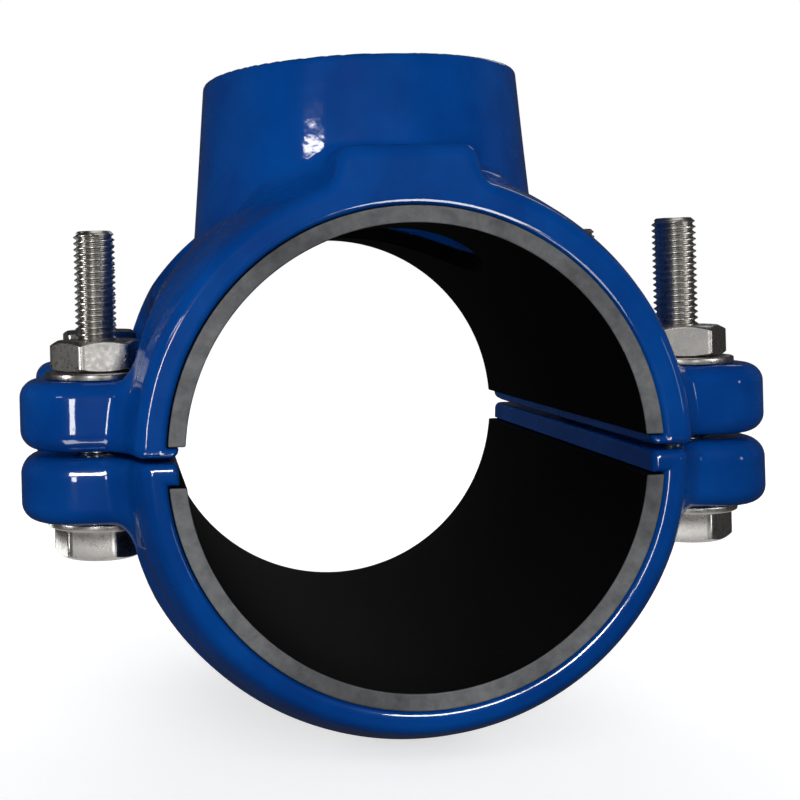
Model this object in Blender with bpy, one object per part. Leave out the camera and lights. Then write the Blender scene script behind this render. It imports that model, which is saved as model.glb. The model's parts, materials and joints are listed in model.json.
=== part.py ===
"""Pipe clamp with a threaded branch: two lined cast halves drawn together by four bolts.

Metres, +Z up.  +Y runs along the pipe, +X across the bolts, +Z to the branch.  The pieces are
made about the pipe's axis, with z = 0 in the parting plane between the two castings, and then
raised together, so that the origin is under mid length at the clamp's lowest point.
"""

import math

import bmesh
import bpy
from mathutils import Vector

# Driving dimensions
PIPE_R = 0.0612             # inside of the rubber before it is squeezed on a 125 mm pipe
LINING_T = 0.0046           # rubber thickness
HALF_LEN = 0.0690           # half the clamp's length along the pipe
SPLIT_GAP = 0.0014          # between the two castings' lug faces
UPPER_RISE = 0.0            # the saddle's arc centre above the parting plane
LOWER_DROP = 0.0016         # the shell's arc centre below the parting plane

FIT = 0.0003                # air between two pieces that sit together
LIP_R = PIPE_R + 0.0018     # bare metal lip beside the split
UPPER_LIP = 0.0034          # height of that lip on the saddle
LOWER_LIP = 0.0066          # and on the shell
RECESS_R = PIPE_R + LINING_T + FIT

SADDLE_FACE = (0.0705, 0.0728)  # outer radius at the end faces, and behind their rounded edge
SHELL_FACE = (0.0692, 0.0707)
SHOULDER_Y = 0.0020         # depth of that rounded edge
SADDLE_RIM = (0.0800, 0.0220, 0.0300)   # end rim's crest radius, start and end behind the end face
SHELL_RIM = (0.0797, 0.0165, 0.0235)
SADDLE_WALL_R = 0.0755      # outer radius between the rims
SHELL_WALL_R = 0.0745
RIM_BACK_SLOPE = 0.0060     # length of the step from the rim down to the wall

BOLT_X = 0.0843
BOLT_Y = 0.0375
BOLT_HOLE_R = 0.0070
LUG_TOP = 0.0203
LUG_BOTTOM = 0.0193
LUG_OVERHANG = 0.0222       # lug end beyond the bolt's centre
LUG_HALF_WIDTH = 0.0185
LUG_CORNER_R = 0.0175
LUG_ROOT_X = 0.0680
WEB_X = 0.0880              # flange between the lugs of one side
WEB_H = 0.0120
NUT_POCKET_R = 0.0172       # clearance pocket in the rims around each nut and head

BOSS_TOP = 0.1102
BOSS_TOP_R = 0.0487
BOSS_DRAFT = 0.083          # growth of the boss's radius per unit of depth
BOSS_ROOT_Z = 0.0400
THREAD_MINOR_R = 0.04247    # G3 inside thread, at its crests
THREAD_DEPTH = 0.0300
PORT_R = 0.0380             # way through to the pipe
GUSSET_ROOT_HALF = 0.0218   # half the gusset's width at the bore
GUSSET_TOP_HALF = 0.0186    # and at its top
GUSSET_TOP = 0.0826
GUSSET_LEAN = 0.0010        # the gusset's face leans back this much by its top
GUSSET_INSET = 0.0002       # its foot stands this far behind the end face

THREAD_R = 0.0060           # M12
THREAD_CLEARANCE = 0.00006
HEX_FLATS = 0.0236
NUT_H = 0.0088
HEAD_H = 0.0086
HEX_CHAMFER = 0.0012
WASHER_R = 0.0150
WASHER_HOLE_R = 0.0066
WASHER_T = 0.0020
BOLT_TIP = 0.0622
TIP_CHAMFER = 0.0010
SEAT = 0.00002              # air between stacked fasteners, so that they may turn
HEX_TURNS = {               # how far each nut and each head stands turned, in degrees
    "front_left": (12.0, -11.0),
    "front_right": (-12.0, -19.5),
    "rear_left": (40.0, 33.0),
    "rear_right": (-40.0, -33.0),
}

ARC_STEPS = 40
ROUND_STEPS = 48
CORNERS = {
    "front_left": (-1, -1),
    "front_right": (1, -1),
    "rear_left": (-1, 1),
    "rear_right": (1, 1),
}


def clear_scene():
    for old in list(bpy.data.objects):
        bpy.data.objects.remove(old, do_unlink=True)


def principled(name, color, roughness, metallic):
    material = bpy.data.materials.new(name)
    material.use_nodes = True
    shader = material.node_tree.nodes["Principled BSDF"]
    shader.inputs["Base Color"].default_value = (*color, 1.0)
    shader.inputs["Roughness"].default_value = roughness
    shader.inputs["Metallic"].default_value = metallic
    return material


def mesh_object(name, points, faces, origin=(0.0, 0.0, 0.0), material=None):
    """An object whose mesh is given in world places, with its own origin on a joint's axis."""
    origin = Vector(origin)
    mesh = bpy.data.meshes.new(name)
    mesh.from_pydata([Vector(point) - origin for point in points], [], faces)
    bm = bmesh.new()
    bm.from_mesh(mesh)
    bmesh.ops.recalc_face_normals(bm, faces=bm.faces)
    bm.to_mesh(mesh)
    bm.free()
    thing = bpy.data.objects.new(name, mesh)
    thing.location = origin
    bpy.context.scene.collection.objects.link(thing)
    if material is not None:
        mesh.materials.append(material)
    return thing


def loft(name, loops, origin=(0.0, 0.0, 0.0), material=None):
    """A closed solid through loops of equal length, capped at both ends."""
    count = len(loops[0])
    points = [point for loop in loops for point in loop]
    faces = []
    for row in range(len(loops) - 1):
        start = row * count
        for i in range(count):
            j = (i + 1) % count
            faces.append((start + i, start + j, start + count + j, start + count + i))
    faces.append(tuple(range(count)))
    last = (len(loops) - 1) * count
    faces.append(tuple(range(last, last + count)))
    return mesh_object(name, points, faces, origin, material)


def tube(name, outline, centre, steps=ROUND_STEPS, origin=None, material=None):
    """A ring: a closed outline of (radius, z) pairs turned about the vertical line at centre."""
    count = len(outline)
    points = []
    for i in range(steps):
        turn = 2 * math.pi * i / steps
        for radius, z in outline:
            points.append((centre[0] + radius * math.cos(turn), centre[1] + radius * math.sin(turn), z))
    faces = []
    for i in range(steps):
        here = i * count
        there = ((i + 1) % steps) * count
        for k in range(count):
            m = (k + 1) % count
            faces.append((here + k, here + m, there + m, there + k))
    return mesh_object(name, points, faces, origin or (0, 0, 0), material)


def post(name, profile, centre, steps=ROUND_STEPS, origin=None, material=None):
    """A solid of (radius, z) stations, from the lowest up, about the vertical line at centre."""
    loops = []
    for radius, z in profile:
        loop = []
        for i in range(steps):
            turn = 2 * math.pi * i / steps
            loop.append((centre[0] + radius * math.cos(turn), centre[1] + radius * math.sin(turn), z))
        loops.append(loop)
    return loft(name, loops, origin or (0, 0, 0), material)


def half_section(radius, arc_z, face_z, y, side):
    """Part of a disc in the plane at y, cut off flat at face_z.

    The arc's centre is at arc_z.  Where face_z is nearer the parting plane than the centre,
    straight sides join them.  side is 1 above the parting plane and -1 below it.
    """
    start = math.asin(max(0.0, face_z - arc_z) / radius)
    loop = []
    for i in range(ARC_STEPS + 1):
        turn = start + (math.pi - 2 * start) * i / ARC_STEPS
        loop.append((radius * math.cos(turn), y, side * (arc_z + radius * math.sin(turn))))
    if face_z < arc_z:
        loop.append((-radius, y, side * face_z))
        loop.append((radius, y, side * face_z))
    return loop


def half_barrel(name, stations, arc_z, face_z, side, material=None):
    loops = [half_section(radius, arc_z, face_z, y, side) for y, radius in stations]
    return loft(name, loops, material=material)


def hidden_tool(thing):
    thing.hide_render = True
    thing.display_type = 'WIRE'
    thing.hide_set(True)
    return thing


def combine(target, tool, operation):
    modifier = target.modifiers.new(operation.lower(), 'BOOLEAN')
    modifier.operation = operation
    modifier.solver = 'EXACT'
    modifier.object = hidden_tool(tool)


def smooth(thing, angle_deg=32.0):
    thing.data.shade_smooth()
    thing.data.set_sharp_from_angle(angle=math.radians(angle_deg))


def body_stations(face, rim, wall_r):
    """(y, radius) along a casting's outside, the same from both ends."""
    crest_r, crest_start, crest_end = rim
    front = [
        (0.0, face[0]),
        (SHOULDER_Y, face[1]),
        (crest_start, crest_r),
        (crest_end, crest_r),
        (crest_end + RIM_BACK_SLOPE, wall_r),
    ]
    near = [(depth - HALF_LEN, radius) for depth, radius in front]
    far = [(HALF_LEN - depth, radius) for depth, radius in reversed(front)]
    return near + far


def lug_plan(side_x, side_y):
    """The lug seen from above: a block with its two outer corners rounded."""
    outer_x = BOLT_X + LUG_OVERHANG - LUG_CORNER_R
    inner_y = LUG_HALF_WIDTH - LUG_CORNER_R
    plan = [(LUG_ROOT_X, -LUG_HALF_WIDTH)]
    for i in range(9):
        turn = -math.pi / 2 + math.pi / 2 * i / 8
        plan.append((outer_x + LUG_CORNER_R * math.cos(turn), -inner_y + LUG_CORNER_R * math.sin(turn)))
    for i in range(9):
        turn = math.pi / 2 * i / 8
        plan.append((outer_x + LUG_CORNER_R * math.cos(turn), inner_y + LUG_CORNER_R * math.sin(turn)))
    plan.append((LUG_ROOT_X, LUG_HALF_WIDTH))
    return [(side_x * x, side_y * BOLT_Y + y) for x, y in plan]


def add_lugs(casting, name, low, high):
    for corner, (side_x, side_y) in CORNERS.items():
        plan = lug_plan(side_x, side_y)
        loops = [[(x, y, z) for x, y in plan] for z in (low, high)]
        combine(casting, loft(f"{name}_lug_{corner}", loops), 'UNION')


def box(name, low, high):
    loops = []
    for z in (low[2], high[2]):
        near = [(low[0], low[1], z), (high[0], low[1], z)]
        far = [(high[0], high[1], z), (low[0], high[1], z)]
        loops.append(near + far)
    return loft(name, loops)


def add_webs(casting, name, low, high):
    """The low flange that joins the two lugs of each side."""
    for label, side in (("left", -1), ("right", 1)):
        x_range = sorted((side * LUG_ROOT_X, side * WEB_X))
        web = box(f"{name}_web_{label}", (x_range[0], -BOLT_Y, low), (x_range[1], BOLT_Y, high))
        combine(casting, web, 'UNION')


def cut_pockets(casting, name, low, high):
    """Room above or below each lug for a washer and a turning hexagon."""
    for corner, (side_x, side_y) in CORNERS.items():
        centre = (side_x * BOLT_X, side_y * BOLT_Y)
        pocket = post(f"{name}_pocket_{corner}", [(NUT_POCKET_R, low), (NUT_POCKET_R, high)], centre, 32)
        combine(casting, pocket, 'DIFFERENCE')


def cut_bolt_holes(casting, name):
    for corner, (side_x, side_y) in CORNERS.items():
        centre = (side_x * BOLT_X, side_y * BOLT_Y)
        hole = post(f"{name}_hole_{corner}", [(BOLT_HOLE_R, -0.04), (BOLT_HOLE_R, 0.04)], centre, 32)
        combine(casting, hole, 'DIFFERENCE')


def cut_bore(casting, name, arc_z, lip, side):
    """The bare lips beside the split, and the wider recess that holds the rubber."""
    ends = (-HALF_LEN - 0.01, HALF_LEN + 0.01)
    bore = half_barrel(f"{name}_bore", [(y, LIP_R) for y in ends], arc_z, -0.01, side)
    combine(casting, bore, 'DIFFERENCE')
    recess = half_barrel(f"{name}_recess", [(y, RECESS_R) for y in ends], arc_z, lip, side)
    combine(casting, recess, 'DIFFERENCE')


def boss_radius(z):
    return BOSS_TOP_R + BOSS_DRAFT * (BOSS_TOP - z)


def add_boss(casting):
    edge = 0.0015
    profile = [
        (boss_radius(BOSS_ROOT_Z), BOSS_ROOT_Z),
        (boss_radius(BOSS_TOP - edge), BOSS_TOP - edge),
        (BOSS_TOP_R - edge, BOSS_TOP),
    ]
    combine(casting, post("saddle_boss", profile, (0, 0), 72), 'UNION')


def add_gussets(casting):
    """A tapering block that carries each end face up to the boss."""
    root_z = RECESS_R
    boss_y = boss_radius(GUSSET_TOP) - 0.004
    for label, side in (("front", -1), ("rear", 1)):
        flank = [
            (GUSSET_ROOT_HALF, side * (HALF_LEN - GUSSET_INSET), root_z),
            (GUSSET_TOP_HALF, side * (HALF_LEN - GUSSET_INSET - GUSSET_LEAN), GUSSET_TOP),
            (GUSSET_TOP_HALF, side * boss_y, GUSSET_TOP),
            (GUSSET_ROOT_HALF, side * boss_y, root_z),
        ]
        loops = [[(hand * x, y, z) for x, y, z in flank] for hand in (-1, 1)]
        combine(casting, loft(f"saddle_gusset_{label}", loops), 'UNION')


def cut_branch(casting):
    seat_z = BOSS_TOP - THREAD_DEPTH
    combine(casting, post("saddle_port", [(PORT_R, 0.045), (PORT_R, BOSS_TOP)], (0, 0), 72), 'DIFFERENCE')
    outlet = [
        (THREAD_MINOR_R, seat_z),
        (THREAD_MINOR_R, BOSS_TOP - 0.0015),
        (THREAD_MINOR_R + 0.0035, BOSS_TOP + 0.002),
    ]
    combine(casting, post("saddle_outlet", outlet, (0, 0), 72), 'DIFFERENCE')


def make_upper_saddle(paint):
    face_z = SPLIT_GAP / 2
    stations = body_stations(SADDLE_FACE, SADDLE_RIM, SADDLE_WALL_R)
    saddle = half_barrel("upper_saddle", stations, UPPER_RISE, face_z, 1, paint)
    add_webs(saddle, "saddle", face_z, face_z + WEB_H)
    add_lugs(saddle, "saddle", face_z, LUG_TOP)
    add_boss(saddle)
    add_gussets(saddle)
    cut_bore(saddle, "saddle", UPPER_RISE, UPPER_LIP, 1)
    cut_pockets(saddle, "saddle", LUG_TOP, LUG_TOP + 0.026)
    cut_bolt_holes(saddle, "saddle")
    cut_branch(saddle)
    return saddle


def make_lower_shell(paint):
    face_z = SPLIT_GAP / 2
    stations = body_stations(SHELL_FACE, SHELL_RIM, SHELL_WALL_R)
    shell = half_barrel("lower_shell", stations, LOWER_DROP, face_z, -1, paint)
    add_webs(shell, "shell", -face_z - WEB_H, -face_z)
    add_lugs(shell, "shell", -LUG_BOTTOM, -face_z)
    cut_bore(shell, "shell", LOWER_DROP, LOWER_LIP, -1)
    cut_pockets(shell, "shell", -LUG_BOTTOM - 0.024, -LUG_BOTTOM)
    cut_bolt_holes(shell, "shell")
    return shell


def make_lining(name, arc_z, lip, side, rubber):
    """Half a rubber sleeve, cut square a little short of the metal lips."""
    face_z = lip + FIT
    ends = (-HALF_LEN, HALF_LEN)
    outside = [(y, PIPE_R + LINING_T) for y in ends]
    lining = half_barrel(name, outside, arc_z, face_z, side, rubber)
    inside = [(y * 1.1, PIPE_R) for y in ends]
    combine(lining, half_barrel(f"{name}_inside", inside, arc_z, -0.01, side), 'DIFFERENCE')
    return lining


def cut_lining_port(lining):
    port = post("lining_port", [(PORT_R, 0.03), (PORT_R, 0.08)], (0, 0), 72)
    combine(lining, port, 'DIFFERENCE')


def hexagon(radius, centre, z, turn_deg):
    loop = []
    for i in range(6):
        turn = math.radians(turn_deg + 60 * i)
        loop.append((centre[0] + radius * math.cos(turn), centre[1] + radius * math.sin(turn), z))
    return loop


def make_nut(name, centre, turn_deg, steel):
    low = LUG_TOP + WASHER_T + 2 * SEAT
    corner_r = HEX_FLATS / math.sqrt(3)
    chamfered = corner_r - HEX_CHAMFER
    loops = [
        hexagon(chamfered, centre, low, turn_deg),
        hexagon(corner_r, centre, low + HEX_CHAMFER / 2, turn_deg),
        hexagon(corner_r, centre, low + NUT_H - HEX_CHAMFER / 2, turn_deg),
        hexagon(chamfered, centre, low + NUT_H, turn_deg),
    ]
    nut = loft(name, loops, (*centre, low), steel)
    hole_r = THREAD_R + THREAD_CLEARANCE
    hole = post(f"{name}_hole", [(hole_r, low - 0.01), (hole_r, low + NUT_H + 0.01)], centre, 32)
    combine(nut, hole, 'DIFFERENCE')
    return nut


def make_bolt(name, centre, turn_deg, steel):
    head_top = -LUG_BOTTOM - WASHER_T - 2 * SEAT
    corner_r = HEX_FLATS / math.sqrt(3)
    loops = [
        hexagon(corner_r - HEX_CHAMFER, centre, head_top - HEAD_H, turn_deg),
        hexagon(corner_r, centre, head_top - HEAD_H + HEX_CHAMFER / 2, turn_deg),
        hexagon(corner_r, centre, head_top, turn_deg),
    ]
    bolt = loft(name, loops, (*centre, head_top), steel)
    profile = [
        (THREAD_R, head_top - HEAD_H / 2),
        (THREAD_R, BOLT_TIP - TIP_CHAMFER),
        (THREAD_R - TIP_CHAMFER, BOLT_TIP),
    ]
    combine(bolt, post(f"{name}_shank", profile, centre, 32), 'UNION')
    return bolt


def make_washer(name, centre, low, steel):
    high = low + WASHER_T
    outline = [(WASHER_HOLE_R, low), (WASHER_R, low), (WASHER_R, high), (WASHER_HOLE_R, high)]
    return tube(name, outline, centre, 40, (*centre, low), steel)


def make_fasteners(steel):
    made = []
    for corner, (side_x, side_y) in CORNERS.items():
        centre = (side_x * BOLT_X, side_y * BOLT_Y)
        nut_turn, head_turn = HEX_TURNS[corner]
        made.append(make_bolt(f"bolt_{corner}", centre, head_turn, steel))
        made.append(make_nut(f"nut_{corner}", centre, nut_turn, steel))
        made.append(make_washer(f"upper_washer_{corner}", centre, LUG_TOP + SEAT, steel))
        made.append(make_washer(f"lower_washer_{corner}", centre, -LUG_BOTTOM - WASHER_T - SEAT, steel))
    return made


def raise_all(height):
    for thing in bpy.data.objects:
        thing.location.z += height


def main():
    clear_scene()
    upper_paint = principled("saddle_paint", (0.006, 0.055, 0.262), 0.22, 0.0)
    lower_paint = principled("shell_paint", (0.006, 0.052, 0.250), 0.22, 0.0)
    rubber = principled("black_rubber", (0.020, 0.020, 0.021), 0.70, 0.0)
    steel = principled("stainless_steel", (0.48, 0.47, 0.45), 0.30, 1.0)

    pieces = [make_upper_saddle(upper_paint), make_lower_shell(lower_paint)]
    upper_lining = make_lining("upper_lining", UPPER_RISE, UPPER_LIP, 1, rubber)
    cut_lining_port(upper_lining)
    pieces.append(upper_lining)
    pieces.append(make_lining("lower_lining", LOWER_DROP, LOWER_LIP, -1, rubber))
    pieces.extend(make_fasteners(steel))
    for piece in pieces:
        smooth(piece)
    raise_all(LOWER_DROP + SHELL_RIM[0])


main()
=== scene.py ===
"""How the branch clamp looks: castings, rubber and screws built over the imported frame.

Shapes are worked out in millimetres about the pipe's axis, with z = 0 in the parting plane, and
put into the frame's metres at the end.  A casting is a signed distance field: negative inside.
"""

import json
import math

import bmesh
import bpy
import numpy as np
from mathutils import Matrix, Vector

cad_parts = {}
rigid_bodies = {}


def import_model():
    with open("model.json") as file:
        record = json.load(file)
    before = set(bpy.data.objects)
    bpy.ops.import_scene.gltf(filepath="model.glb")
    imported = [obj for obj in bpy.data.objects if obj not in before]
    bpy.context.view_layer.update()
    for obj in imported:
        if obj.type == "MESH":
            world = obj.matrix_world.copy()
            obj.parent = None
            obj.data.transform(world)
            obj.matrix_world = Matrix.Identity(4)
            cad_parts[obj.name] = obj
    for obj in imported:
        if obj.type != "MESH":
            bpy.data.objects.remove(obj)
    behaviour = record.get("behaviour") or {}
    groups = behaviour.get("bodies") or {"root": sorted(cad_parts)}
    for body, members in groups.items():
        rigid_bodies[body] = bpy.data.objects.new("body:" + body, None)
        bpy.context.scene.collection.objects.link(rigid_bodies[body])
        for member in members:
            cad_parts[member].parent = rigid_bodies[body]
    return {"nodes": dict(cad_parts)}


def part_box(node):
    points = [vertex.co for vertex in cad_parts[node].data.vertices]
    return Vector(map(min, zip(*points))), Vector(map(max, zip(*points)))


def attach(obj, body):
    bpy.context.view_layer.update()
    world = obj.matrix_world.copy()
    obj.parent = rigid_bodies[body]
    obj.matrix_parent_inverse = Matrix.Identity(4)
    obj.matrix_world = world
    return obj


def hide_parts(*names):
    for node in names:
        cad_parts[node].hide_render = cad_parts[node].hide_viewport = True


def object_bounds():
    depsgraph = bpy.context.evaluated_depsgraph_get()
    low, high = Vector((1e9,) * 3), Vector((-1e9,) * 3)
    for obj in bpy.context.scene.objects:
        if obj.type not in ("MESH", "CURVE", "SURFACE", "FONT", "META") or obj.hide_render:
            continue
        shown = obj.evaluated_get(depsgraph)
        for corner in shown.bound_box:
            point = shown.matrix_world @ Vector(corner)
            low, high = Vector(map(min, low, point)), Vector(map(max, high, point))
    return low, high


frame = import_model()
cad_low, cad_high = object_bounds()

# Where things are, read from the frame
MM = 0.001
COARSE = 1.0
LOW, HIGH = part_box("upper_saddle")
SHELL_LOW, SHELL_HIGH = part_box("lower_shell")
SPLIT_Z = (LOW.z + SHELL_HIGH.z) / 2
HALF_LEN = HIGH.y / MM
TOP = (HIGH.z - SPLIT_Z) / MM
LUG_END = HIGH.x / MM
CORNERS = ("front_left", "front_right", "rear_left", "rear_right")


def place_of(node):
    """Middle of a node, seen from above."""
    low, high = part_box(node)
    return (low.x + high.x) / 2 / MM, (low.y + high.y) / 2 / MM


def level(node, top):
    """Height of a node's top or bottom above the parting plane."""
    low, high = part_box(node)
    return ((high.z if top else low.z) - SPLIT_Z) / MM


BOLT_X, BOLT_Y = place_of("upper_washer_rear_right")
LUG_HALF = 18.5
SPLIT = 0.7                 # each casting's lug face stands this far from the parting plane
UPPER = {
    "arc": 0.0, "lip": 3.4, "lug": level("upper_washer_front_left", False),
    "front": 72.8, "rim": 80.0, "rise": 21.0, "crest": 31.0, "wall": 75.5,
    "edge": 3.2, "bore_edge": 2.0,
}
LOWER = {
    "arc": 1.6, "lip": 6.6, "lug": -level("lower_washer_front_left", True),
    "front": 70.7, "rim": 79.7, "rise": 16.5, "crest": 24.5, "wall": 74.5,
    "edge": 2.4, "bore_edge": 2.0,
}
BORE = 61.2                 # inside of the rubber
LIP = BORE + 1.8            # bare metal beside the parting plane
RECESS = BORE + 4.9         # where the rubber lies
BOSS_R = 48.7               # at the boss's top
GUSSET_TOP = 82.6
OUTLET_R, OUTLET_DEEP = 44.6, 30.0
PORT_R = 38.0               # the way from the outlet into the pipe
HOLE_R = 7.0                # bolt holes


# Distance fields

def joined(a, b, radius):
    """Union with a concave fillet."""
    near = np.hypot(np.maximum(radius - a, 0), np.maximum(radius - b, 0))
    return np.maximum(radius, np.minimum(a, b)) - near


def shared(a, b, radius):
    """Intersection with a rounded edge."""
    over = np.hypot(np.maximum(radius + a, 0), np.maximum(radius + b, 0))
    return np.minimum(-radius, np.maximum(a, b)) + over


def step_up(t):
    t = np.clip(t, 0.0, 1.0)
    return t * t * (3.0 - 2.0 * t)


def plan_block(x, y, low_x, high_x, half_y, corner):
    """A block seen from above, from low_x to high_x, with rounded corners."""
    dx = np.abs(x - (low_x + high_x) / 2) - (high_x - low_x) / 2 + corner
    dy = np.abs(y) - half_y + corner
    outside = np.hypot(np.maximum(dx, 0), np.maximum(dy, 0))
    return outside + np.minimum(np.maximum(dx, dy), 0) - corner


def barrel(reach, ay, half):
    """The half round body: rounded ends, a swelling rim near each end and a thinner wall."""
    depth = HALF_LEN - ay
    slope_up = (half["rim"] - half["front"]) / half["rise"]
    swell = 0.95 * (reach - half["front"] - slope_up * depth)
    swell = shared(swell, reach - half["rim"], 2.0)
    back = (depth - half["crest"]) * 0.75 + (reach - half["rim"]) * 0.66
    rim = shared(swell, back, 1.6)
    wall = np.maximum(reach - half["wall"], swell)
    return joined(rim, wall, 3.0)


def side_flanges(ax, ay, h, half):
    lug = plan_block(ax, ay - BOLT_Y, 48.0, LUG_END, LUG_HALF, 17.0)
    lug = shared(lug, h - half["lug"], 5.0)
    web = shared(ax - 88.0, h - 12.7, 3.5)
    web = shared(web, ay - BOLT_Y, 3.0)
    return joined(lug, web, 5.0)


def unevenness(x, y, z):
    """The slight waviness of a sand casting under its coating."""
    first = np.sin(x / 7.0 + 0.6) * np.sin(y / 9.0 + 1.1) * np.sin(z / 8.0 + 0.4)
    second = np.sin(x / 17.0 + 2.6) * np.sin(y / 14.0 + 0.3) * np.sin(z / 19.0 + 2.0)
    return 0.06 * first + 0.12 * second


def casting_outside(x, y, h, half):
    ax, ay = np.abs(x), np.abs(y)
    reach = np.hypot(ax, np.maximum(h - half["arc"], 0))
    at_bolt = np.hypot(ax - BOLT_X, ay - BOLT_Y)
    pocket = np.maximum(at_bolt - 17.6, half["lug"] - 6.0 - h)
    body = shared(barrel(reach, ay, half), -pocket, 2.2)
    return joined(body, side_flanges(ax, ay, h, half), 6.5)


def boss(x, y, z):
    radius = BOSS_R + 0.083 * (TOP - z)
    return shared(0.996 * (np.hypot(x, y) - radius), z - TOP, 2.0)


def gusset(x, y, z):
    """The block that leans from the rim up to the boss, at either end."""
    flank = (np.abs(x) - 18.6 - (GUSSET_TOP - z) * 0.17) * 0.986
    block = shared(flank, z - GUSSET_TOP, 4.0)
    return shared(block, 20.0 - np.abs(y), 1.0)


def ends(y, z):
    """The end faces, leaning back a little over the gussets."""
    return np.abs(y) - HALF_LEN + 0.07 * np.maximum(z - 70.0, 0)


def parting_edge(ax):
    """The edge at the parting plane is softer on the lugs than on the body."""
    return 2.6 + 2.9 * step_up((ax - 72.0) / 12.0)


def machined(solid, x, y, h, half):
    """Cuts the parting face, the bore with its lips, the bolt holes and the nut seats."""
    ax, ay = np.abs(x), np.abs(y)
    solid = shared(solid, SPLIT - h, parting_edge(ax))
    reach = np.hypot(ax, np.maximum(h - half["arc"], 0))
    recess = np.maximum(reach - RECESS, half["lip"] - h)
    soft = 1.0 + (half["bore_edge"] - 1.0) * step_up((np.abs(y) - 60.0) / 7.0)
    solid = shared(solid, -np.minimum(reach - LIP, recess), soft)
    at_bolt = np.hypot(ax - BOLT_X, ay - BOLT_Y)
    solid = shared(solid, HOLE_R - at_bolt, 0.8)
    seat = np.maximum(at_bolt - 17.2, half["lug"] + 0.4 - h)
    return shared(solid, -seat, 0.6)


def saddle_field(x, y, z):
    solid = casting_outside(x, y, z, UPPER)
    solid = joined(solid, boss(x, y, z), 6.0)
    solid = joined(solid, gusset(x, y, z), 3.0) + unevenness(x, y, z)
    solid = shared(solid, ends(y, z), UPPER["edge"] + 1.2 * step_up((z - 72.0) / 8.0))
    solid = machined(solid, x, y, z, UPPER)
    at_axis = np.hypot(x, y)
    outlet = at_axis - OUTLET_R
    outlet = np.minimum(outlet, 0.7 * (outlet - (z - TOP + 1.6)))
    outlet = np.maximum(outlet, TOP - OUTLET_DEEP - z)
    return shared(solid, -np.minimum(at_axis - PORT_R, outlet), 0.7)


def shell_field(x, y, z):
    solid = casting_outside(x, y, -z, LOWER) + unevenness(x, y, z)
    solid = shared(solid, ends(y, 0.0), LOWER["edge"])
    return machined(solid, x, y, -z, LOWER)


def rubber_field(x, y, h, half):
    reach = np.hypot(x, np.maximum(h - half["arc"], 0))
    sleeve = np.abs(reach - BORE - 2.4) - 2.4
    sleeve = shared(sleeve, np.abs(y) - HALF_LEN, 0.5)
    return shared(sleeve, half["lip"] + 0.3 - h, 0.5)


def upper_rubber_field(x, y, z):
    return shared(rubber_field(x, y, z, UPPER), PORT_R - np.hypot(x, y), 0.6)


def lower_rubber_field(x, y, z):
    return rubber_field(x, y, -z, LOWER)


# Meshes from fields

def marks(*spans):
    """Grid lines through spans of (start, end, spacing)."""
    lines = [spans[0][0]]
    for start, end, spacing in spans:
        count = max(1, round((end - start) / (spacing * COARSE)))
        lines.extend(start + (end - start) * (i + 1) / count for i in range(count))
    return np.array(lines)


def mirrored(lines):
    return np.concatenate([-lines[:0:-1], lines])


def polar_up(a, b, c):
    """Angle, length and radius about the saddle's arc."""
    return -c * np.cos(a), b, c * np.sin(a) + UPPER["arc"]


def polar_down(a, b, c):
    return c * np.cos(a), b, -(c * np.sin(a) + LOWER["arc"])


def net_edges(values, lines, axis):
    """Crossings of the surface along one axis, and the four cells round each."""
    u, v = (axis + 1) % 3, (axis + 2) % 3
    count = values.shape[axis]
    near = np.take(values, range(count - 1), axis)
    far = np.take(values, range(1, count), axis)
    at = np.argwhere((near < 0) != (far < 0))
    inner = (at[:, u] > 0) & (at[:, v] > 0)
    inner &= (at[:, u] < values.shape[u] - 1) & (at[:, v] < values.shape[v] - 1)
    at = at[inner]
    first, second = near[tuple(at.T)], far[tuple(at.T)]
    place = np.stack([lines[k][at[:, k]] for k in range(3)], axis=1)
    gap = lines[axis][at[:, axis] + 1] - lines[axis][at[:, axis]]
    place[:, axis] += gap * first / (first - second)
    cells = [at.copy() for _ in range(4)]
    cells[1][:, u] -= 1
    cells[2][:, u] -= 1
    cells[2][:, v] -= 1
    cells[3][:, v] -= 1
    size = [n - 1 for n in values.shape]
    loop = np.stack([np.ravel_multi_index(tuple(c.T), size) for c in cells], axis=1)
    loop[first >= 0] = loop[first >= 0][:, ::-1]
    return place, loop


def surface_net(field, lines, to_world):
    """Quads of a field's zero surface on a grid with uneven lines."""
    a, b, c = np.meshgrid(*lines, indexing="ij", sparse=True)
    values = np.broadcast_to(field(*to_world(a, b, c)), [len(line) for line in lines])
    places, loops = zip(*[net_edges(values, lines, axis) for axis in range(3)])
    loops = np.concatenate(loops)
    places = np.concatenate(places)
    used, index = np.unique(loops, return_inverse=True)
    quads = index.reshape(-1, 4)
    total = np.zeros((len(used), 3))
    hits = np.bincount(quads.ravel(), minlength=len(used))
    for k in range(3):
        weight = np.repeat(places[:, k], 4)
        total[:, k] = np.bincount(quads.ravel(), weight, minlength=len(used)) / hits
    points = np.stack(to_world(*total.T), axis=1)
    return points, quads


def slope(field, points):
    """Gradient of a field at each point."""
    grown = np.zeros_like(points)
    for k in range(3):
        shift = np.zeros(3)
        shift[k] = 0.04
        ahead, behind = points + shift, points - shift
        grown[:, k] = (field(*ahead.T) - field(*behind.T)) / 0.08
    return grown


def settle(field, points, rounds=3):
    """Moves each point onto the surface along the gradient."""
    for _ in range(rounds):
        value = field(*points.T)
        grown = slope(field, points)
        length = np.maximum((grown ** 2).sum(1), 0.2)
        points = points - grown * np.clip(value / length, -0.8, 0.8)[:, None]
    return points


def relax(points, quads):
    """Each point goes half way to the middle of the faces around it."""
    middles = points[quads].mean(1)
    hits = np.bincount(quads.ravel(), minlength=len(points))
    result = points.copy()
    for k in range(3):
        weight = np.repeat(middles[:, k], 4)
        mean = np.bincount(quads.ravel(), weight, minlength=len(points)) / hits
        result[:, k] = 0.5 * points[:, k] + 0.5 * mean
    return result


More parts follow.
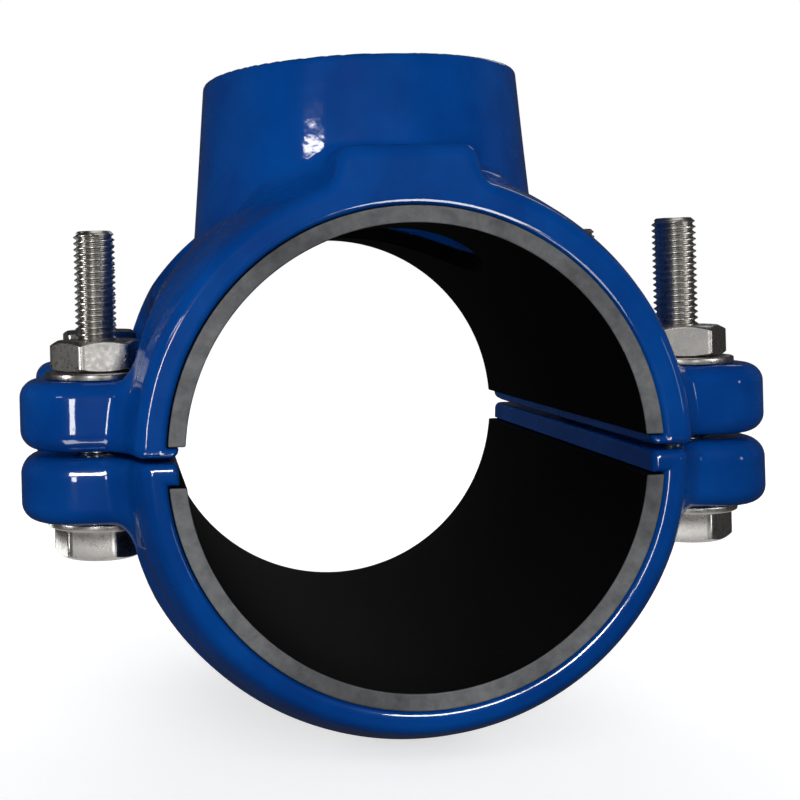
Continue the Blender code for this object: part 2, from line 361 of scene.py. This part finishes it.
def to_frame(points):
    """Millimetres about the axis to metres in the frame."""
    world = np.asarray(points, float) * MM
    world[:, 2] += SPLIT_Z
    return world


def field_object(name, field, lines, to_world):
    points, quads = surface_net(field, lines, to_world)
    points = settle(field, points)
    points = settle(field, relax(points, quads), 2)
    normals = slope(field, points)
    normals /= np.linalg.norm(normals, axis=1)[:, None]
    mesh = bpy.data.meshes.new(name)
    mesh.from_pydata(to_frame(points).tolist(), [], quads.tolist())
    mesh.shade_smooth()
    mesh.normals_split_custom_set_from_vertices(normals.tolist())
    thing = bpy.data.objects.new(name, mesh)
    bpy.context.scene.collection.objects.link(thing)
    return thing


# Turned and threaded pieces

def ring_angles(turn_deg):
    """Angles round a hexagon, closer together at its corners."""
    local = [0.0, 1.3, 5.0, 10.0, 15.0, 20.0, 25.0, 30.0, 35.0, 40.0, 45.0, 50.0, 55.0, 58.7]
    return np.radians([turn_deg + 60.0 * side + at for side in range(6) for at in local])


def hexagon(angles, turn_deg, flats):
    """Radius of a hexagon at each angle, with its corners just broken."""
    local = (np.degrees(angles) - turn_deg) % 60.0 - 30.0
    radius = flats / 2 / np.cos(np.radians(local))
    return np.minimum(radius, flats / 2 / math.cos(math.radians(28.9)))


PITCH = 1.75
OUTLET_PITCH = 2.309
THREAD_MARKS = (0.0, 0.14, 0.27, 0.40, 0.57, 0.74, 0.87)


def thread_shape(phase, depth):
    """How far below the crest a 60 degree thread is, along one pitch."""
    off = np.abs((phase - 0.07 + 0.5) % 1.0 - 0.5) * 2.0
    return depth * np.clip((off - 0.14) / 0.66, 0.0, 1.0)


def thread_rings(angles, low, high, crest, depth, pitch, anchor):
    """Rings that climb with the thread, clipped level at both ends."""
    rows = []
    turn = (angles - angles[0]) / (2 * math.pi)
    first = math.floor((low - anchor) / pitch) - 2
    last = math.ceil((high - anchor) / pitch) + 1
    for lap in range(first, last + 1):
        for mark in THREAD_MARKS:
            z = np.clip(anchor + pitch * (lap + mark + turn), low, high)
            radius = crest - thread_shape((z - anchor) / pitch - turn, depth)
            rows.append(np.stack([radius, z], axis=1))
    return rows


def closing(angles):
    """The same angles with the first again at the end."""
    return np.append(angles, angles[0] + 2 * math.pi)


def ring(angles, radius, z):
    return np.stack([np.broadcast_to(radius, angles.shape), np.broadcast_to(z, angles.shape)], axis=1)


def turned_object(name, angles, rings, centre, closed=False, sharp_deg=38.0):
    """A piece through rings of (radius, z) at the same angles; ends are capped unless closed."""
    angles = closing(angles)
    count = len(angles)
    points = []
    for row in rings:
        full = row if len(row) == count else np.vstack([row, row[:1]])
        x = centre[0] + full[:, 0] * np.cos(angles)
        y = centre[1] + full[:, 0] * np.sin(angles)
        points.append(np.stack([x, y, full[:, 1]], axis=1))
    points = np.concatenate(points)
    rows = len(rings)
    faces = []
    for k in range(rows if closed else rows - 1):
        here = k * count
        there = ((k + 1) % rows) * count
        faces.extend((here + i, here + i + 1, there + i + 1, there + i) for i in range(count - 1))
    if not closed:
        for row, start in ((rings[0], 0), (rings[-1], (rows - 1) * count)):
            middle = len(points)
            points = np.vstack([points, [[centre[0], centre[1], float(np.mean(row[:, 1]))]]])
            faces.extend((middle, start + i, start + i + 1) for i in range(count - 1))
    return solid_object(name, to_frame(points), faces, sharp_deg)


def solid_object(name, points, faces, sharp_deg):
    mesh = bpy.data.meshes.new(name)
    mesh.from_pydata([tuple(p) for p in points], [], faces)
    bm = bmesh.new()
    bm.from_mesh(mesh)
    bmesh.ops.remove_doubles(bm, verts=bm.verts, dist=2e-6)
    bmesh.ops.dissolve_degenerate(bm, edges=bm.edges, dist=1e-6)
    bmesh.ops.recalc_face_normals(bm, faces=bm.faces)
    bm.to_mesh(mesh)
    bm.free()
    mesh.shade_smooth()
    mesh.set_sharp_from_angle(angle=math.radians(sharp_deg))
    thing = bpy.data.objects.new(name, mesh)
    bpy.context.scene.collection.objects.link(thing)
    return thing


def thread_anchor(angles, base, pitch):
    return base + pitch * angles[0] / (2 * math.pi)


def hex_turn(node):
    """How far a hexagon stands turned, from its corner farthest out."""
    mesh = frame["nodes"][node].data
    low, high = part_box(node)
    middle = (low + high) / 2
    corner = max(mesh.vertices, key=lambda v: (v.co - middle).xy.length).co - middle
    return math.degrees(math.atan2(corner.y, corner.x)) % 60.0


FLATS = 23.6
CHAMFER_R = 11.1
CONE = math.tan(math.radians(27))


def head_rings(angles, turn, top, bottom):
    """A bolt head, from its bearing face down; the chamfer meets the flats in arcs."""
    hexed = hexagon(angles, turn, FLATS)
    drop = np.maximum(hexed - CHAMFER_R, 0) * CONE
    return [
        ring(angles, 11.0, top),
        ring(angles, np.minimum(hexed, 11.3), top - 0.02),
        ring(angles, hexed - 0.12, top - 0.06),
        ring(angles, hexed, top - 0.22),
        ring(angles, hexed, bottom + drop + 0.16),
        ring(angles, hexed - 0.14, bottom + drop),
        ring(angles, CHAMFER_R, bottom + 0.03),
        ring(angles, CHAMFER_R - 0.25, bottom),
        ring(angles, 4.0, bottom),
    ]


def make_bolt(corner, steel):
    node = f"bolt_{corner}"
    angles = ring_angles(hex_turn(node))
    wide = closing(angles)
    tip, bottom = level(node, True), level(node, False)
    head_top = level(f"lower_washer_{corner}", False) - 0.02
    anchor = thread_anchor(angles, 0.0, PITCH)
    rows = thread_rings(wide, head_top + 0.9, tip, 5.93, 0.90, PITCH, anchor)
    for row in rows:
        row[:, 0] = np.minimum(row[:, 0], 4.75 + (tip - row[:, 1]))
    rings = [ring(wide, 3.0, tip)] + rows[::-1]
    rings.append(ring(wide, 5.4, head_top + 0.5))
    rings.append(ring(wide, 5.9, head_top + 0.05))
    rings.extend(head_rings(wide, hex_turn(node), head_top, bottom))
    bolt = turned_object(f"{node}_steel", angles, rings, place_of(node))
    return dress(bolt, node, node, steel)


def make_nut(corner, steel):
    node = f"nut_{corner}"
    turn = hex_turn(node)
    angles = ring_angles(turn)
    wide = closing(angles)
    low, high = level(node, False), level(node, True)
    hexed = hexagon(wide, turn, FLATS)
    drop = np.maximum(hexed - CHAMFER_R, 0) * CONE
    anchor = thread_anchor(angles, 0.0, PITCH)
    rings = thread_rings(wide, low + 0.5, high - 0.5, 6.05, 0.84, PITCH, anchor)
    rings += [
        ring(wide, 6.3, high - 0.2),
        ring(wide, 6.6, high),
        ring(wide, CHAMFER_R - 0.25, high),
        ring(wide, CHAMFER_R, high - 0.03),
        ring(wide, hexed - 0.14, high - drop),
        ring(wide, hexed, high - drop - 0.16),
        ring(wide, hexed, low + drop * 0.8 + 0.16),
        ring(wide, hexed - 0.14, low + drop * 0.8),
        ring(wide, CHAMFER_R, low + 0.03),
        ring(wide, CHAMFER_R - 0.25, low),
        ring(wide, 6.6, low),
        ring(wide, 6.3, low + 0.2),
    ]
    nut = turned_object(f"{node}_steel", angles, rings, place_of(node), closed=True)
    return dress(nut, node, node, steel)


def make_washer(node, body, steel):
    low, high = level(node, False), level(node, True)
    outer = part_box(node)[1].x - place_of(node)[0] * MM
    outer, inner = outer / MM, 6.6
    angles = np.linspace(0, 2 * math.pi, 97)[:-1]
    soft = 0.5
    profile = [(inner, low + 0.2), (inner, high - 0.2), (inner + 0.2, high)]
    for i in range(7):
        turn = math.pi / 2 * (1 - i / 6)
        reach = outer - soft + soft * math.cos(turn)
        profile.append((reach, high - soft + soft * math.sin(turn)))
    for i in range(5):
        turn = -math.pi / 2 * i / 4
        reach = outer - soft + soft * math.cos(turn)
        profile.append((reach, low + 0.3 + 0.3 * math.sin(turn)))
    profile.append((inner + 0.2, low))
    rings = [ring(angles, r, z) for r, z in profile]
    washer = turned_object(f"{node}_steel", angles, rings, place_of(node), closed=True)
    return dress(washer, node, body, steel)


def make_outlet_thread(paint):
    """The pipe thread cut into the boss, a sleeve that lines the outlet."""
    angles = np.linspace(0, 2 * math.pi, 181)[:-1]
    wide = closing(angles)
    low, high = TOP - OUTLET_DEEP + 0.1, TOP - 1.7
    rings = thread_rings(wide, low, high, 43.94, 1.45, OUTLET_PITCH, 0.0)
    for row in rings:
        row[:, 0] = np.maximum(row[:, 0], 44.4 - (high - row[:, 1]))
        row[:, 0] = np.maximum(row[:, 0], 43.6 - 0.8 * (row[:, 1] - low))
    rings.append(ring(wide, 44.5, high))
    rings.append(ring(wide, 44.5, low))
    thread = turned_object("outlet_thread", angles, rings, (0.0, 0.0), closed=True)
    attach(thread, "saddle")
    thread.data.materials.append(paint)
    return thread


def dress(thing, node, body, material):
    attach(thing, body)
    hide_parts(node)
    thing.data.materials.append(material)
    return thing


# Finishes

class Nodes:
    """Adds shader nodes to a material and joins them by socket name."""

    def __init__(self, name):
        self.material = bpy.data.materials.new(name)
        self.material.use_nodes = True
        self.tree = self.material.node_tree
        self.shader = self.tree.nodes["Principled BSDF"]

    def add(self, kind, settings=None, **inputs):
        node = self.tree.nodes.new(kind)
        for key, value in (settings or {}).items():
            setattr(node, key, value)
        for key, value in inputs.items():
            self.feed(node, key.replace("_", " "), value)
        return node

    def feed(self, node, socket, value):
        target = node.inputs[socket]
        if isinstance(value, bpy.types.NodeSocket):
            self.tree.links.new(value, target)
        else:
            target.default_value = value

    def noise(self, scale, detail=3.0, roughness=0.5):
        place = self.add("ShaderNodeTexCoord").outputs["Object"]
        texture = self.add("ShaderNodeTexNoise", None, Vector=place, Scale=scale, Detail=detail)
        texture.inputs["Roughness"].default_value = roughness
        return texture.outputs["Fac"]

    def spread(self, value, low, high, out_low, out_high):
        node = self.add("ShaderNodeMapRange", None, Value=value, From_Min=low, From_Max=high)
        node.inputs["To Min"].default_value = out_low
        node.inputs["To Max"].default_value = out_high
        return node.outputs["Result"]

    def mix(self, amount, first, second):
        node = self.add("ShaderNodeMix", {"data_type": "RGBA"})
        self.feed(node, 0, amount)
        self.feed(node, 6, first)
        self.feed(node, 7, second)
        return node.outputs[2]

    def bump(self, height, strength, distance, normal=None):
        node = self.add("ShaderNodeBump", None, Height=height, Strength=strength, Distance=distance)
        if normal is not None:
            self.feed(node, "Normal", normal)
        return node.outputs["Normal"]

    def math(self, operation, first, second):
        node = self.add("ShaderNodeMath", {"operation": operation})
        self.feed(node, 0, first)
        self.feed(node, 1, second)
        return node.outputs[0]


def epoxy(name, dark, light):
    """Glossy coating over sand-cast iron."""
    made = Nodes(name)
    patches = made.spread(made.noise(45.0, 4.0), 0.35, 0.65, 0.0, 1.0)
    made.feed(made.shader, "Base Color", made.mix(patches, (*dark, 1.0), (*light, 1.0)))
    made.feed(made.shader, "Roughness", made.spread(made.noise(120.0), 0.3, 0.7, 0.20, 0.32))
    peel = made.bump(made.noise(420.0, 2.0), 0.12, 0.0002)
    sand = made.bump(made.noise(100.0, 2.0), 0.28, 0.0005, peel)
    made.feed(made.shader, "Normal", sand)
    made.feed(made.shader, "Specular IOR Level", 0.03)
    made.feed(made.shader, "Coat Weight", 0.8)
    made.feed(made.shader, "Coat Roughness", 0.06)
    made.feed(made.shader, "Coat Normal", sand)
    return made.material


def rubber(name):
    """Black rubber, its cut ends greyed by dust."""
    made = Nodes(name)
    normal = made.add("ShaderNodeNewGeometry").outputs["Normal"]
    parts = made.add("ShaderNodeSeparateXYZ", None, Vector=normal)
    facing = made.math("ABSOLUTE", parts.outputs["Y"], 0.0)
    place = made.add("ShaderNodeTexCoord").outputs["Object"]
    along = made.add("ShaderNodeSeparateXYZ", None, Vector=place).outputs["Y"]
    far = made.spread(made.math("ABSOLUTE", along, 0.0), 0.0655, 0.068, 0.0, 1.0)
    end = made.math("MULTIPLY", made.spread(facing, 0.55, 0.9, 0.0, 1.0), far)
    patchy = made.spread(made.noise(230.0, 6.0, 0.7), 0.3, 0.65, 0.55, 1.0)
    broad = made.spread(made.noise(22.0, 2.0), 0.35, 0.62, 0.45, 1.0)
    grey = made.math("MULTIPLY", end, made.math("MULTIPLY", patchy, broad))
    black, dusty = (0.0035, 0.0035, 0.0035, 1.0), (0.28, 0.285, 0.295, 1.0)
    made.feed(made.shader, "Base Color", made.mix(grey, black, dusty))
    made.feed(made.shader, "Roughness", 0.62)
    made.feed(made.shader, "Specular IOR Level", 0.15)
    made.feed(made.shader, "Normal", made.bump(made.noise(500.0, 4.0), 0.5, 0.0002))
    return made.material


def stainless(name):
    """Cold formed steel with a fine satin grain."""
    made = Nodes(name)
    made.feed(made.shader, "Metallic", 1.0)
    tone = made.spread(made.noise(220.0, 4.0), 0.3, 0.7, 0.0, 1.0)
    dull, bright = (0.55, 0.53, 0.50, 1.0), (0.64, 0.62, 0.59, 1.0)
    made.feed(made.shader, "Base Color", made.mix(tone, dull, bright))
    made.feed(made.shader, "Roughness", made.spread(made.noise(700.0, 3.0), 0.3, 0.7, 0.25, 0.33))
    made.feed(made.shader, "Normal", made.bump(made.noise(900.0, 3.0), 0.05, 0.0001))
    return made.material


# The pieces

def half_turn(*spans):
    """Angles from one side's parting plane round to the other's, alike on both sides."""
    quarter = marks(*spans)
    return np.concatenate([quarter, math.pi - quarter[-2::-1]])


def saddle_lines():
    turns = half_turn((-0.07, 0.30, 0.0095), (0.30, 0.76, 0.022), (0.76, 1.18, 0.014),
                      (1.18, 1.36, 0.012), (1.36, math.pi / 2, 0.020))
    along = marks((0, 16, 2.4), (16, 64, 1.4), (64, 70.4, 0.6))
    radii = marks((60, 62.2, 1.1), (62.2, 68.4, 0.65), (68.4, 71, 1.2), (71, 82, 0.75),
                  (82, 104, 1.3), (104, 120.4, 0.8))
    return turns, mirrored(along), radii


def shell_lines():
    turns = half_turn((-0.09, 0.30, 0.0095), (0.30, math.pi / 2, 0.024))
    along = marks((0, 16, 2.4), (16, 64, 1.3), (64, 70.4, 0.6))
    radii = marks((60, 62.2, 1.1), (62.2, 71, 0.6), (71, 82, 0.75), (82, 109, 1.2))
    return turns, mirrored(along), radii


def sleeve_lines(fine_middle):
    turns = marks((0.0, 0.10, 0.007), (0.10, math.pi - 0.10, 0.020), (math.pi - 0.10, math.pi, 0.007))
    turns = np.concatenate([[-0.014, -0.007], turns, [math.pi + 0.007, math.pi + 0.014]])
    spacing = 0.8 if fine_middle else 2.5
    along = marks((0, 67, spacing), (67, 69.9, 0.3))
    radii = marks((60.6, 62.0, 0.25), (62.0, 65.2, 0.6), (65.2, 66.5, 0.25))
    return turns, mirrored(along), radii


def make_castings(upper_paint, shell_paint_with_painted_shade):
    saddle = field_object("saddle_casting", saddle_field, saddle_lines(), polar_up)
    dress(saddle, "upper_saddle", "saddle", upper_paint)
    shell = field_object("shell_casting", shell_field, shell_lines(), polar_down)
    dress(shell, "lower_shell", "shell", shell_paint_with_painted_shade)


def make_rubbers(black):
    upper = field_object("upper_rubber", upper_rubber_field, sleeve_lines(True), polar_up)
    dress(upper, "upper_lining", "saddle", black)
    lower = field_object("lower_rubber", lower_rubber_field, sleeve_lines(False), polar_down)
    dress(lower, "lower_lining", "shell", black)


def make_screws(steel):
    for corner in CORNERS:
        make_bolt(corner, steel)
        make_nut(corner, steel)
        make_washer(f"upper_washer_{corner}", f"washer_{corner}", steel)
        make_washer(f"lower_washer_{corner}", "shell", steel)


# The studio

def make_floor():
    """A pale round floor that fades out into the white beyond it."""
    mesh = bpy.data.meshes.new("floor")
    steps = 96
    z = cad_low.z - 0.0006
    points = [(1.1 * math.cos(2 * math.pi * i / steps), 1.1 * math.sin(2 * math.pi * i / steps), z)
              for i in range(steps)]
    mesh.from_pydata(points, [], [tuple(range(steps))])
    floor = bpy.data.objects.new("floor", mesh)
    bpy.context.scene.collection.objects.link(floor)
    made = Nodes("pale_floor")
    made.feed(made.shader, "Base Color", (0.62, 0.62, 0.63, 1.0))
    made.feed(made.shader, "Roughness", 0.6)
    made.feed(made.shader, "Emission Color", (1.0, 1.0, 1.0, 1.0))
    made.feed(made.shader, "Emission Strength", 0.64)
    place = made.add("ShaderNodeTexCoord").outputs["Object"]
    distance = made.add("ShaderNodeVectorMath", {"operation": "LENGTH"})
    made.tree.links.new(place, distance.inputs[0])
    fade = made.spread(distance.outputs["Value"], 0.45, 1.05, 1.0, 0.0)
    made.feed(made.shader, "Alpha", fade)
    mesh.materials.append(made.material)
    floor.visible_glossy = False
    floor.visible_diffuse = False
    floor.visible_shadow = False


def make_world(seen, cast):
    world = bpy.data.worlds.new("studio")
    bpy.context.scene.world = world
    world.use_nodes = True
    tree = world.node_tree
    shade = tree.nodes["Background"]
    shade.inputs["Color"].default_value = (1.0, 1.0, 1.0, 1.0)
    path = tree.nodes.new("ShaderNodeLightPath")
    level_node = tree.nodes.new("ShaderNodeMapRange")
    level_node.inputs["To Min"].default_value = cast
    level_node.inputs["To Max"].default_value = seen
    tree.links.new(path.outputs["Is Camera Ray"], level_node.inputs["Value"])
    tree.links.new(level_node.outputs["Result"], shade.inputs["Strength"])


def soft_light(name, place, target, size, power, use="both", only=()):
    """A rectangular light; places are in metres from the pipe's axis.

    A "fill" only brightens and doesn't show in the glossy coating; a "shine" only shows there.
    A light with a list of pieces in only lights no others.
    """
    data = bpy.data.lights.new(name, 'AREA')
    data.shape = 'RECTANGLE'
    data.size, data.size_y = size
    data.energy = power
    light = bpy.data.objects.new(name, data)
    bpy.context.scene.collection.objects.link(light)
    light.location = Vector(place) + Vector((0, 0, SPLIT_Z))
    light.rotation_mode = 'QUATERNION'
    light.rotation_quaternion = (Vector(target) - Vector(place)).to_track_quat("-Z", "Y")
    light.visible_glossy = use != "fill"
    light.visible_diffuse = use != "shine"
    light.visible_camera = False
    if only:
        lit = bpy.data.collections.new(f"{name}_lights")
        for piece in only:
            lit.objects.link(piece)
        light.light_linking.receiver_collection = lit
    return light


def make_lights():
    """Broad fills, cards that the steel mirrors, and the coating's highlights."""
    middle = (0.0, 0.0, 0.0)
    saddle, shell = (bpy.data.objects[name] for name in ("saddle_casting", "shell_casting"))
    steel = [thing for thing in bpy.data.objects if thing.name.endswith("_steel")]
    soft_light("front_fill", (-0.1, -1.3, 0.35), middle, (1.4, 1.0), 10.5, "fill")
    soft_light("overhead", (0.0, -0.7, 1.1), middle, (1.2, 0.7), 2.5, "fill")
    soft_light("rear_fill", (0.1, 1.3, 0.5), middle, (1.2, 0.8), 14, "fill")
    soft_light("right_fill", (1.2, 0.3, 0.3), middle, (0.9, 0.8), 8, "fill")
    soft_light("left_fill", (-1.2, 0.3, 0.3), middle, (0.9, 0.8), 6, "fill")
    left = (-0.27, -0.88, 0.03)
    lugs = (-0.09, -0.05, 0.03)
    soft_light("left_window", left, lugs, (0.15, 0.27), 3.0, only=[saddle, shell])
    soft_light("right_strip", (0.78, -0.57, 0.05), (0.084, -0.04, 0.04), (0.07, 0.16), 0.25)
    soft_light("rear_strip", (0.5, 0.8, 0.6), middle, (0.5, 0.2), 0.35)

    soft_light("left_card", left, lugs, (0.15, 0.27), 0.7, only=steel)
    soft_light("front_card", (0.15, -1.0, -0.05), (0.0, -0.05, 0.0), (0.7, 0.16), 0.26, only=steel)
    soft_light("nut_card", (0.33, -1.0, -0.02), (-0.08, -0.04, 0.0), (0.16, 0.16), 0.20, only=steel)
    soft_light("head_card", (-0.32, -1.0, -0.22), (0.0, -0.04, -0.03), (0.55, 0.16), 0.14, only=steel)
    soft_light("head_side", (-0.63, 0.68, -0.22), (-0.08, -0.04, -0.03), (0.2, 0.16), 0.3, only=steel)
    soft_light("left_side", (-0.93, -0.34, 0.05), (-0.08, -0.04, 0.05), (0.12, 0.22), 1.6, only=steel)
    soft_light("right_broad", (0.73, -0.58, 0.20), (0.06, -0.05, 0.03), (0.5, 0.4), 1.4, only=steel)
    soft_light("top_card", (0.1, -0.25, 1.0), middle, (0.9, 0.7), 2.0, only=steel)
    soft_light("floor_card", (0.0, 0.0, -0.3), middle, (1.4, 1.4), 3.5, only=steel)

    soft_light("lug_glint", (-0.22, -0.95, 0.44), (-0.09, -0.05, 0.0), (0.34, 0.10), 1.4, only=[shell])
    shines = (
        ("low_streak", shell, (0.12, -0.76, 0.50), (0.01, -0.07, -0.07), (0.36, 0.26), 12),
        ("right_streak", shell, (-0.24, -0.81, 0.38), (0.04, -0.07, -0.05), (0.34, 0.26), 12),
        ("low_front", saddle, (0.10, -0.50, -0.45), (0.0, -0.07, 0.065), (0.25, 0.40), 6),
        ("spark", saddle, (-0.58, -0.69, 0.31), (-0.022, -0.046, 0.083), (0.2, 0.016), 0.45),
        ("low_left", saddle, (-0.29, -0.57, -0.62), (0.045, -0.07, 0.045), (0.35, 0.35), 3.5),
    )
    for name, piece, place, target, size, power in shines:
        soft_light(name, place, target, size, power, "shine", [piece])


CAMERA_PLACE = Vector((-0.0793, -0.3923, 0.0470))
CAMERA_YAW, CAMERA_PITCH, CAMERA_ROLL = (math.radians(v) for v in (1.75, 0.23, 1.39))
CAMERA_SHIFT = {"shift_x": 0.3125, "shift_y": -0.1525}


def make_camera():
    """Camera level with the pipe and to its left; the view shift holds only at this place."""
    data = bpy.data.cameras.new("camera")
    data.lens = 55.6
    data.sensor_width = 36.0
    data.clip_start = 0.02
    camera = bpy.data.objects.new("camera", data)
    bpy.context.scene.collection.objects.link(camera)
    ahead = Vector((
        math.sin(CAMERA_YAW) * math.cos(CAMERA_PITCH),
        math.cos(CAMERA_YAW) * math.cos(CAMERA_PITCH),
        math.sin(CAMERA_PITCH),
    ))
    right = Vector((math.cos(CAMERA_YAW), -math.sin(CAMERA_YAW), 0))
    up = right.cross(ahead)
    rolled_right = right * math.cos(CAMERA_ROLL) - up * math.sin(CAMERA_ROLL)
    rolled_up = right * math.sin(CAMERA_ROLL) + up * math.cos(CAMERA_ROLL)
    turn = Matrix((rolled_right, rolled_up, -ahead)).transposed()
    camera.rotation_mode = 'QUATERNION'
    camera.rotation_quaternion = turn.to_quaternion()
    camera.location = CAMERA_PLACE + Vector((0, 0, SPLIT_Z))
    for channel, amount in CAMERA_SHIFT.items():
        driver = data.driver_add(channel).driver
        driver.type = 'SCRIPTED'
        place = driver.variables.new()
        place.name = "x"
        place.type = 'SINGLE_PROP'
        place.targets[0].id = camera
        place.targets[0].data_path = "location[0]"
        driver.expression = f"{amount} if abs(x - {CAMERA_PLACE.x:.4f}) < 0.0001 else 0.0"
    bpy.context.scene.camera = camera
    bpy.context.scene.view_settings.view_transform = 'Standard'


def main():
    upper_paint = epoxy("blue_epoxy_saddle", (0.0003, 0.037, 0.205), (0.0005, 0.054, 0.268))
    # The shell has the same blue epoxy as the saddle, set about a fifth darker: painted shade for the
    # lower half, which gets less light from above.
    shell_paint_with_painted_shade = epoxy("blue_epoxy_shell_painted_shade", (0.0003, 0.030, 0.165), (0.0005, 0.043, 0.215))
    make_castings(upper_paint, shell_paint_with_painted_shade)
    make_outlet_thread(upper_paint)
    make_rubbers(rubber("black_rubber"))
    make_screws(stainless("stainless_steel"))
    make_floor()
    make_world(1.0, 0.03)
    make_lights()
    make_camera()


main()
